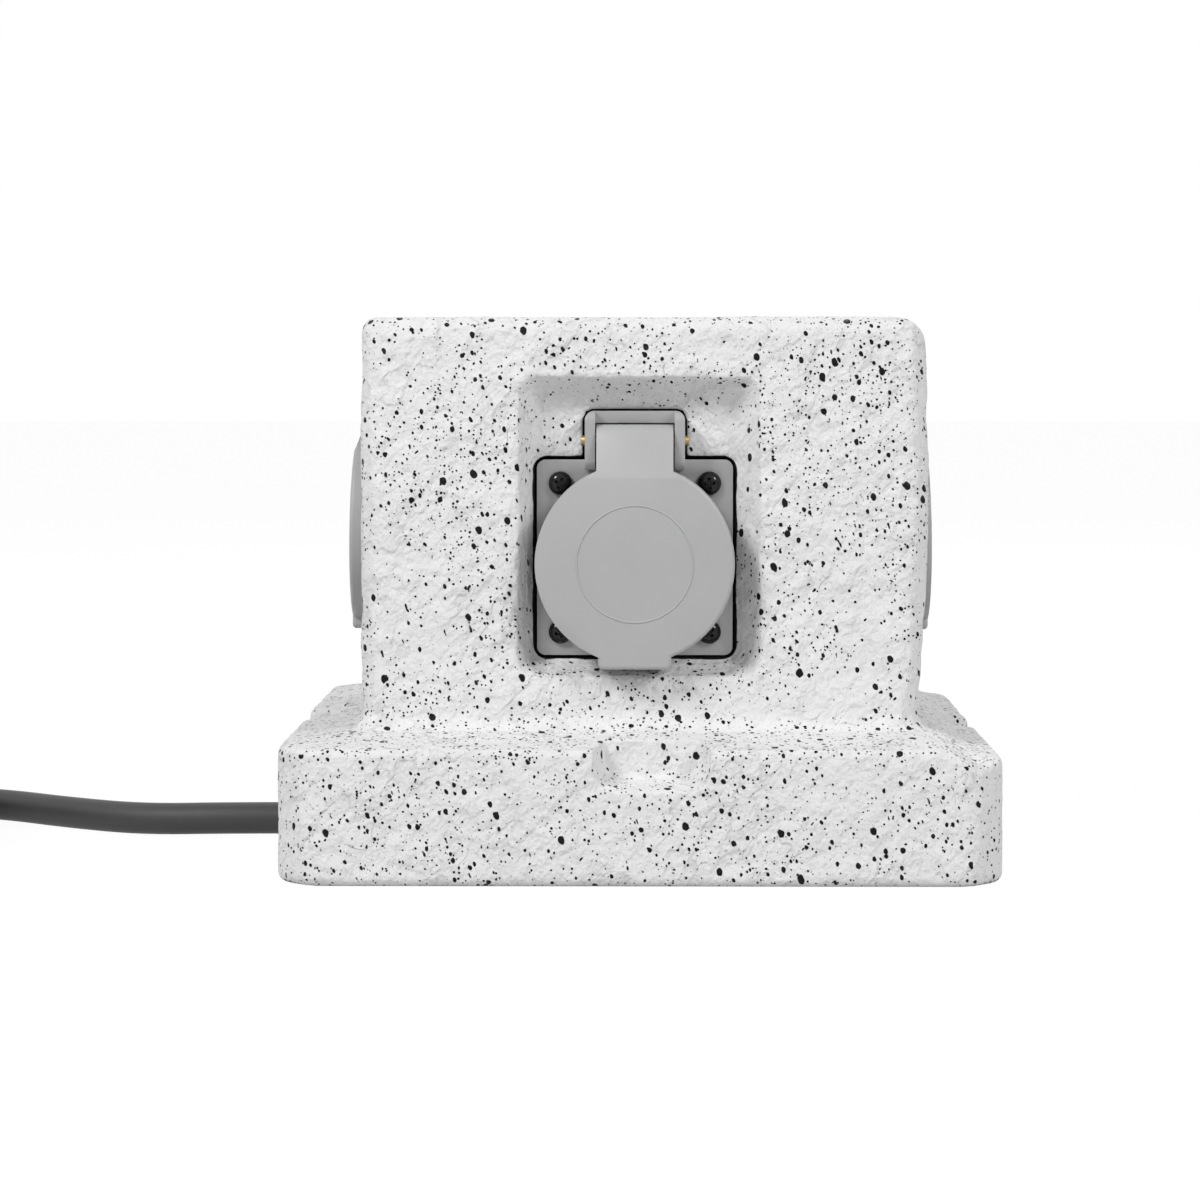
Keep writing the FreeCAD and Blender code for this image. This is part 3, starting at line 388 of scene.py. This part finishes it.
# The faces wave and dip, but for the foot, the pockets and the lead's tunnel, where other pieces fit.
face = 1 - 0.65 * smooth_step(depth, 0.0005, 0.002)
face *= 1 - smooth_step(depth, recess_depth - 0.0007, recess_depth + 0.0001)
foot = smooth_step(height, 0.0003, 0.005)
tunnel = (points[:, 0] < 0) & (np.abs(points[:, 1]) < 0.0075) & (height < 0.013)
on_plinth = smooth_step(-depth, 0.0, 0.004)
free = face * foot * np.where(tunnel, 0.0, 1.0) * (1 - 0.6 * on_plinth)
waves = noise_at(points, 0.040, 2) * 0.00055
lumps = noise_at(points + 0.3, 0.011, 2) * 0.00042
pits = noise_at(points + 0.7, 0.0035, 2) * 0.00016
points += normals * ((waves + lumps + pits) * free)[:, None]
on_block = smooth_step(height, 0.040, 0.060) * (1 - smooth_step(depth, 0.0, 0.0078))

# The plinth stands out all round, and its ledge sags at the right, most of all towards the front.
plinth_out = smooth_step(-depth, 0.012, 0.018) * 0.0013
points[:, 0] += plinth_out * np.sign(points[:, 0]) * across
points[:, 1] += plinth_out * np.sign(points[:, 1]) * ~across
sag = 0.0026 + 0.0016 * smooth_step(-points[:, 1], 0.080, 0.089)
on_ledge = smooth_step(points[:, 0], 0.073, 0.087) * smooth_step(height, 0.018, 0.032)
points[:, 2] -= sag * on_ledge

# The block's right wall swells, and its upper edge there is rounded off.
right_wall = on_block * (points[:, 0] > 0.055) * smooth_step(points[:, 0], 0.055, 0.069)
swell = 0.0010 + 0.0016 * smooth_step(height, 0.045, 0.095)
swell -= 0.0009 * smooth_step(height, 0.100, 0.136)
points[:, 0] += right_wall * swell
edge_radius = 0.008
right_limit = 0.0724
top_limit = 0.142
inward = np.maximum(points[:, 0] - (right_limit - edge_radius), 0)
upward = np.maximum(height - (top_limit - edge_radius), 0)
reach = np.hypot(inward, upward)
past_edge = (inward > 0) & (upward > 0) & (reach > edge_radius)
kept = np.where(past_edge, edge_radius / np.maximum(reach, 1e-6), 1.0)
points[:, 0] -= inward * (1 - kept)
points[:, 2] -= upward * (1 - kept)

mesh.vertices.foreach_set("co", points.astype(np.float32).ravel())
shade_smooth(mesh)
mesh.update()
mesh.materials.clear()
mesh.materials.append(stone_finish())
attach(stone, "root")
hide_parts("stone_body")


# The base plate and the fixings: a folded flat of galvanised steel lies in a rebate under the casting,
# held by four countersunk screws. The lead's clamp and the connection block stand on it. Nothing of
# this shows while the block stands on its foot.
def paint(node, material):
    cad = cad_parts[node]
    cad.data.materials.clear()
    cad.data.materials.append(material)


def tinted(colour, share):
    return tuple(min(1.0, part * share) for part in colour) + (1.0,)


def metal_finish(name, colour, roughness, cloud):
    """Bare or plated metal: fine drawing marks, and cloudy patches of one size."""
    metal = Finish(name)
    patches = metal.cells(cloud).output("Color")
    patch = metal.part(patches, "Red")
    scratches = metal.grain(0.0003, 3.0)
    base = metal.blend(patch, tinted(colour, 0.86), tinted(colour, 1.12))
    metal.set(Base_Color=base, Metallic=1.0)
    metal.set(Roughness=roughness + 0.10 * scratches)
    metal.relief(scratches, 0.00002, 0.4)
    return metal.material


zinc = metal_finish("zinc_plate", (0.56, 0.57, 0.58), 0.42, 0.009)
paint("base_plate", zinc)
bright_zinc = metal_finish("zinc_screws", (0.66, 0.66, 0.67), 0.26, 0.0015)
for node in ("base_screws", "clamp_screws", "terminal_screws"):
    paint(node, bright_zinc)


# The socket mouldings: each flange, collar, barrel and hinge frame is one injection moulding in mid
# grey, with a fine satin grain and softly broken edges. It is seated on a black rubber gasket.
def moulded_finish(name, colour, roughness, mottle=0.05):
    moulded = Finish(name)
    cloudy = moulded.grain(0.014, 3.0)
    satin = moulded.grain(0.00035, 2.0)
    flow = moulded.grain(0.004, 4.0)
    base = moulded.blend(cloudy, tinted(colour, 1 - mottle), tinted(colour, 1 + mottle))
    moulded.set(Base_Color=base)
    moulded.set(Roughness=roughness - 0.05 + 0.12 * satin)
    moulded.relief(satin * 0.7 + flow * 0.3, 0.00004, 0.5)
    return moulded.material


def with_broken_edges(node, width, material, body="root"):
    """A copy of a piece with its flat faces whole again and its edges rounded over."""
    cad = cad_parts[node]
    piece = put(node + "_finished", cad.data.copy())
    shape = bmesh.new()
    shape.from_mesh(piece.data)
    bmesh.ops.remove_doubles(shape, verts=shape.verts, dist=0.000002)
    flat = math.radians(0.5)
    bmesh.ops.dissolve_limit(shape, angle_limit=flat, verts=shape.verts, edges=shape.edges)
    shape.to_mesh(piece.data)
    shape.free()
    broken = piece.modifiers.new("broken edges", "BEVEL")
    broken.width = width
    broken.segments = 2
    broken.limit_method = "ANGLE"
    broken.angle_limit = math.radians(38)
    made = piece.evaluated_get(bpy.context.evaluated_depsgraph_get())
    piece.data = bpy.data.meshes.new_from_object(made)
    piece.modifiers.clear()
    shade_smooth(piece.data)
    piece.data.set_sharp_from_angle(angle=math.radians(32))
    piece.data.materials.clear()
    piece.data.materials.append(material)
    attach(piece, body)
    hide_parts(node)
    return piece


sides = ("front", "right", "back", "left")
grey_moulding = moulded_finish("frame_plastic", (0.40, 0.40, 0.405), 0.46)
gasket_rubber = moulded_finish("gasket_rubber", (0.022, 0.022, 0.023), 0.70, 0.15)
for side in sides:
    with_broken_edges(side + "_socket_frame", 0.00025, grey_moulding)
    paint(side + "_flange_gasket", gasket_rubber)


# The flange screws: glossy black pan heads with a cross recess, sixteen of them, two of each four
# half hidden by the lid. The cross is punched a little deeper in its middle.
def side_matrix(side):
    """From a place to the right of the middle, out of the wall and up, to the block's own place."""
    turns = {"front": 0, "right": 90, "back": 180, "left": 270}
    return Matrix.Rotation(math.radians(turns[side]), 4, "Z")


def corners_on_wall(side, node):
    """The two corners of a piece's box: to the right, out of the wall (less than 0) and up."""
    inward = side_matrix(side).inverted()
    return [inward @ Vector(corner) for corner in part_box(node)]


def black_lacquer():
    lacquer = Finish("black_lacquer")
    wear = lacquer.grain(0.0005, 3.0)
    lacquer.set(Base_Color=lacquer.blend(wear, grey(0.006), grey(0.014)))
    lacquer.set(Roughness=0.03 + 0.04 * wear)
    lacquer.shader.inputs["Specular IOR Level"].default_value = 0.26
    return lacquer.material


def pan_head(radius, height):
    """A domed head with a cross recess, standing on z = 0."""
    rings = 26
    around = 64
    slot_half = 0.00036
    slot_slope = 0.00012
    cross_reach = 0.0015
    cross_slope = 0.0005
    cross_depth = 0.0012
    head = bmesh.new()
    circle = []
    for step in range(around):
        angle = 2 * math.pi * step / around
        circle.append((math.cos(angle), math.sin(angle)))
    loops = []
    for ring in range(1, rings + 1):
        share = ring / rings
        loop = []
        dome = height * math.sqrt(max(1 - 0.86 * share ** 2.4, 0.0))
        deepest = cross_depth * (1 - 0.3 * share)
        for cosine, sine in circle:
            x = radius * share * cosine
            y = radius * share * sine
            cross = 0.0
            for near, far in ((abs(x), abs(y)), (abs(y), abs(x))):
                narrow = min(max((slot_half - near) / slot_slope, 0.0), 1.0)
                short = min(max((cross_reach - far) / cross_slope, 0.0), 1.0)
                cross = max(cross, narrow * short)
            loop.append(head.verts.new((x, y, dome - deepest * cross)))
        loops.append(loop)
    middle = head.verts.new((0, 0, height - cross_depth))
    foot = [head.verts.new((radius * cosine, radius * sine, 0)) for cosine, sine in circle]
    loops.append(foot)
    for step in range(around):
        after = (step + 1) % around
        head.faces.new((middle, loops[0][step], loops[0][after]))
        for inner, outer in zip(loops, loops[1:]):
            head.faces.new((inner[step], outer[step], outer[after], inner[after]))
    head.faces.new(list(reversed(foot)))
    return head


screw_lacquer = black_lacquer()
screw_turns = (20, 65, 40, 5)
head_radius = 0.003
head_height = 0.0024
facing_out = Matrix.Rotation(math.radians(90), 4, "X")
for side in sides:
    corners = corners_on_wall(side, side + "_flange_screws")
    rights = sorted(corner.x for corner in corners)
    ups = sorted(corner.z for corner in corners)
    outer = min(corner.y for corner in corners)
    screw_places = [
        (right, outer + head_height, up)
        for right in (rights[0] + head_radius, rights[1] - head_radius)
        for up in (ups[0] + head_radius, ups[1] - head_radius)
    ]
    heads = bmesh.new()
    for screw_place, screw_turn in zip(screw_places, screw_turns):
        head = pan_head(head_radius, head_height)
        turned = facing_out @ Matrix.Rotation(math.radians(screw_turn), 4, "Z")
        place = side_matrix(side) @ Matrix.Translation(screw_place) @ turned
        bmesh.ops.transform(head, matrix=place, verts=head.verts)
        loose = bpy.data.meshes.new("head")
        head.to_mesh(loose)
        heads.from_mesh(loose)
        head.free()
        bpy.data.meshes.remove(loose)
    bmesh.ops.recalc_face_normals(heads, faces=heads.faces)
    mesh = bpy.data.meshes.new(side + "_screw_heads")
    heads.to_mesh(mesh)
    heads.free()
    shade_smooth(mesh)
    mesh.set_sharp_from_angle(angle=math.radians(40))
    mesh.materials.append(screw_lacquer)
    piece = put(side + "_screw_heads", mesh)
    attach(piece, "root")
    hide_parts(side + "_flange_screws")


# The inserts and contacts: a black moulded insert closes each well, with a brass contact behind each
# pin hole and a tinned earth spring at the top and the bottom.
insert_plastic = moulded_finish("insert_plastic", (0.030, 0.030, 0.032), 0.50, 0.08)
brass = metal_finish("contact_brass", (0.80, 0.58, 0.26), 0.28, 0.002)
tinned = metal_finish("tinned_spring", (0.68, 0.68, 0.66), 0.30, 0.003)
for side in sides:
    with_broken_edges(side + "_contact_carrier", 0.0003, insert_plastic)
    paint(side + "_pin_contacts", brass)
    paint(side + "_earth_clips", tinned)


# The lids: a flat disc with a deep rounded edge, a skirt behind it, a hinge tab at the top and a
# thumb tab at the bottom, moulded in one. A fine raised ring marks out the middle, which is bare.
lid_grey = moulded_finish("lid_plastic", (0.43, 0.43, 0.435), 0.44)
seal_rubber = moulded_finish("seal_rubber", (0.020, 0.020, 0.021), 0.72, 0.15)


def ring_on_lid(side):
    """The raised ring, a thin tube sunk to half its thickness into the sloping face of the lid."""
    corners = corners_on_wall(side, side + "_lid")
    middle = sum(corner.x for corner in corners) / 2
    outer = min(corner.y for corner in corners)
    bottom = min(corner.z for corner in corners)
    thumb_reach = 0.0266
    face_slope = math.radians(1.04)
    ring_radius = 0.0147
    ring_thick = 0.00021
    up = bottom + thumb_reach
    out = outer + thumb_reach * math.tan(face_slope)
    ring = bmesh.new()
    around = 160
    across = 8
    loops = []
    for step in range(around):
        turn = 2 * math.pi * step / around
        loop = []
        for part in range(across):
            roll = 2 * math.pi * part / across
            reach = ring_radius + 1.3 * ring_thick * math.cos(roll)
            lift = ring_thick * math.sin(roll)
            corner = (reach * math.cos(turn), reach * math.sin(turn), lift)
            loop.append(ring.verts.new(corner))
        loops.append(loop)
    for step in range(around):
        ahead = loops[(step + 1) % around]
        here = loops[step]
        for part in range(across):
            after = (part + 1) % across
            ring.faces.new((here[part], ahead[part], ahead[after], here[after]))
    lean = Matrix.Rotation(math.radians(90) - face_slope, 4, "X")
    place = side_matrix(side) @ Matrix.Translation((middle, out, up)) @ lean
    bmesh.ops.transform(ring, matrix=place, verts=ring.verts)
    bmesh.ops.recalc_face_normals(ring, faces=ring.faces)
    mesh = bpy.data.meshes.new(side + "_lid_ring")
    ring.to_mesh(mesh)
    ring.free()
    shade_smooth(mesh)
    mesh.materials.append(lid_grey)
    piece = put(side + "_lid_ring", mesh)
    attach(piece, side + "_cover")


for side in sides:
    with_broken_edges(side + "_lid", 0.0003, lid_grey, side + "_cover")
    paint(side + "_lid_seal", seal_rubber)
    ring_on_lid(side)


# The hinges: a drawn brass pin through both ears and the lid's knuckle, with its ends proud, and a
# wound steel spring on it that shuts the lid.
pin_brass = metal_finish("pin_brass", (0.34, 0.24, 0.10), 0.38, 0.004)
spring_wire = metal_finish("spring_wire", (0.42, 0.42, 0.43), 0.30, 0.002)
for side in sides:
    with_broken_edges(side + "_hinge_pin", 0.0002, pin_brass)
    paint(side + "_lid_spring", spring_wire)


# The wiring inside: brown, blue and green-and-yellow sheaths from the cream connection block to each
# socket. The lead's own cores enter the block from the side of its clamp.
def sheath_finish(name, sideways, middle, apart):
    """Brown, green-and-yellow and blue from one side to the other, with the wires this far apart."""
    sheath = Finish(name)
    gloss = sheath.grain(0.001, 2.0)
    across = sheath.place.along(sideways) - middle
    green = (0.03, 0.22, 0.05, 1.0)
    yellow = (0.60, 0.48, 0.03, 1.0)
    stripe = sheath.blend(across.rising(-0.0002, 0.0002), green, yellow)
    brown = sheath.blend(gloss, (0.10, 0.045, 0.02, 1.0), (0.14, 0.06, 0.028, 1.0))
    blue = sheath.blend(gloss, (0.02, 0.07, 0.28, 1.0), (0.03, 0.10, 0.36, 1.0))
    not_brown = across.rising(-apart / 2 - 0.0001, -apart / 2 + 0.0001)
    is_blue = across.rising(apart / 2 - 0.0001, apart / 2 + 0.0001)
    sheath.set(Base_Color=sheath.blend(is_blue, sheath.blend(not_brown, brown, stripe), blue))
    sheath.set(Roughness=0.35 + 0.1 * gloss)
    sheath.relief(gloss, 0.00002, 0.3)
    return sheath.material


cream_plastic = moulded_finish("block_plastic", (0.66, 0.63, 0.54), 0.5)
for node in ("connection_block", "cord_clamp"):
    with_broken_edges(node, 0.0004, cream_plastic)
paint("feeder_wires", sheath_finish("feeder_sheath", (0.0, 1.0, 0.0), 0.0, 0.0029))
for side in sides:
    sideways = side_matrix(side) @ Vector((1.0, 0.0, 0.0))
    paint(side + "_wires", sheath_finish(side + "_sheath", tuple(sideways), -0.0013, 0.0095))


# The lead: a round rubber-sheathed mains cable of 1.5 m, matt black-grey with a faint drawn grain.
# It leaves a rubber sleeve low on the left, lies down on the ground and ends in a neat coil.
def rubber_finish(name, level, roughness):
    rubber = Finish(name)
    cloudy = rubber.grain(0.010, 3.0)
    fine = rubber.grain(0.0005, 3.0)
    dust = rubber.grain(0.004, 4.0).rising(0.55, 0.75)
    bloom = cloudy * 0.7 + dust * 0.3
    rubber.set(Base_Color=rubber.blend(bloom, grey(level * 0.85), grey(level * 1.35)))
    rubber.set(Roughness=roughness + 0.10 * fine)
    rubber.relief(fine * 0.6 + cloudy * 0.4, 0.00006, 0.5)
    return rubber.material


cord_rubber = rubber_finish("cord_rubber", 0.040, 0.52)
paint("cord_inner", cord_rubber)
with_broken_edges("cord_sleeve", 0.0003, cord_rubber)

cord_diameter = 0.0087
cord_exit = (-0.090, 0.0, 0.0055)
on_floor = 0.0044
lead_out = [
    cord_exit,
    (-0.112, 0.0, 0.0055),
    (-0.137, 0.005, on_floor),
    (-0.160, 0.0195, on_floor),
    (-0.182, 0.038, on_floor),
    (-0.20501, 0.04572, on_floor),
]
coil_start_x = -0.232
coil_start_y = 0.045
coil_radius = 0.05919
coil_spacing = 0.0093
turns_in = 2.0
climb = 0.5
turns_out = 1.75
to_the_plug = [
    (-0.28946, -0.03588, 0.0137),
    (-0.28988, -0.05088, 0.0179),
    (-0.29021, -0.06287, 0.0195),
    (-0.29048, -0.07287, 0.0195),
]
coil_points = []
steps_per_turn = 24
all_turns = turns_in + climb + turns_out
for step in range(int(all_turns * steps_per_turn) + 1):
    made = step / steps_per_turn
    inward = min(made, 2 * turns_in + climb - made)
    reach = coil_radius - coil_spacing * inward
    share = min(max((made - turns_in) / climb, 0.0), 1.0)
    lift = coil_spacing * (1 - math.cos(math.pi * share)) / 2
    angle = math.pi / 2 + 2 * math.pi * made
    coil_points.append((
        coil_start_x + reach * math.cos(angle),
        coil_start_y + reach * math.sin(angle) - coil_radius,
        on_floor + lift,
    ))
route = lead_out + coil_points + to_the_plug
line = bpy.data.curves.new("lead", "CURVE")
line.dimensions = "3D"
line.bevel_depth = cord_diameter / 2
line.bevel_resolution = 5
line.use_fill_caps = True
line.resolution_u = 6
spline = line.splines.new("NURBS")
spline.points.add(len(route) - 1)
for point, place in zip(spline.points, route):
    point.co = (*place, 1.0)
spline.order_u = 3
spline.use_endpoint_u = True
line.materials.append(cord_rubber)
lead = put("lead", line)
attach(lead, "root")
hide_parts("cord_run", "cord_coil", "cord_tail")

# The plug: a moulded rubber grip that widens to a round body, with two nickel-plated pins and an
# earth strip in the groove at its top and at its bottom.
plug_rubber = rubber_finish("plug_rubber", 0.026, 0.50)
nickel = metal_finish("nickel_pins", (0.74, 0.73, 0.70), 0.20, 0.002)
plug = with_broken_edges("plug_body", 0.0006, plug_rubber)
plug_pins = with_broken_edges("plug_pins", 0.0002, nickel)
plug_strips = with_broken_edges("plug_earth_strips", 0.0001, nickel)

# The studio: a pale sweep under two soft lights in front, the left one stronger, and a weak one behind.
# To the eye and in gloss the sweep is white, as in the picture, and it keeps the object's shadow.
floor_mesh = bpy.data.meshes.new("floor")
reach = 6.0
floor_corners = [(-reach, -reach, 0), (reach, -reach, 0), (reach, reach, 0), (-reach, reach, 0)]
floor_mesh.from_pydata(floor_corners, [], [(0, 1, 2, 3)])
floor = put("floor", floor_mesh)
sweep = Finish("white_sweep")
sweep.set(Base_Color=grey(0.62), Roughness=0.9)


def seen_by_eye_or_gloss(nodes):
    rays = nodes.node("ShaderNodeLightPath", output="Is Camera Ray")
    return rays.larger(rays.output("Is Glossy Ray")).larger(rays.output("Is Transmission Ray"))


glow = sweep.node("ShaderNodeEmission", None, {"Color": grey(1.0), "Strength": 1.06})
matt = Link(sweep, sweep.shader.outputs["BSDF"])
whitened = seen_by_eye_or_gloss(sweep) * 0.90
ground = sweep.node("ShaderNodeMixShader", None, {0: whitened, 1: matt, 2: glow})
sweep.feed(sweep.tree.nodes["Material Output"].inputs["Surface"], ground)
floor_mesh.materials.append(sweep.material)

world = bpy.data.worlds.new("studio")
bpy.context.scene.world = world
world.use_nodes = True
studio = Nodes(world.node_tree)
studio.tree.nodes.remove(studio.tree.nodes["Background"])
white = studio.node("ShaderNodeBackground", None, {"Color": grey(1.0), "Strength": 1.0})
soft = studio.node("ShaderNodeBackground", None, {"Color": grey(1.0), "Strength": 0.225})
seen = seen_by_eye_or_gloss(studio)
backdrop = studio.node("ShaderNodeMixShader", None, {0: seen, 1: soft, 2: white})
studio.feed(studio.tree.nodes["World Output"].inputs["Surface"], backdrop)


def soft_light(name, place, width, power):
    lamp = bpy.data.lights.new(name, "AREA")
    lamp.shape = "SQUARE"
    lamp.size = width
    lamp.energy = power
    light = put(name, lamp)
    light.location = place
    block_middle = Vector((0, 0, 0.07))
    to_the_block = block_middle - Vector(place)
    light.rotation_euler = to_the_block.to_track_quat("-Z", "Y").to_euler()


soft_light("key", (-1.0, -1.0, 1.25), width=0.5, power=19)
soft_light("fill", (1.1, -1.1, 1.05), width=0.5, power=12)
soft_light("back", (0.2, 1.2, 1.2), width=0.6, power=7)

camera_data = bpy.data.cameras.new("camera")
camera_data.lens = 106.94
camera_data.sensor_width = 36
camera = put("camera", camera_data)
camera.location = (-0.00096, -0.97224, 0.13285)
look_down = math.radians(3.96)
look_left = math.radians(0.582)
camera.rotation_euler = Euler((math.radians(90) - look_down, 0, look_left))
bpy.context.scene.camera = camera
bpy.context.scene.view_settings.view_transform = "Standard"
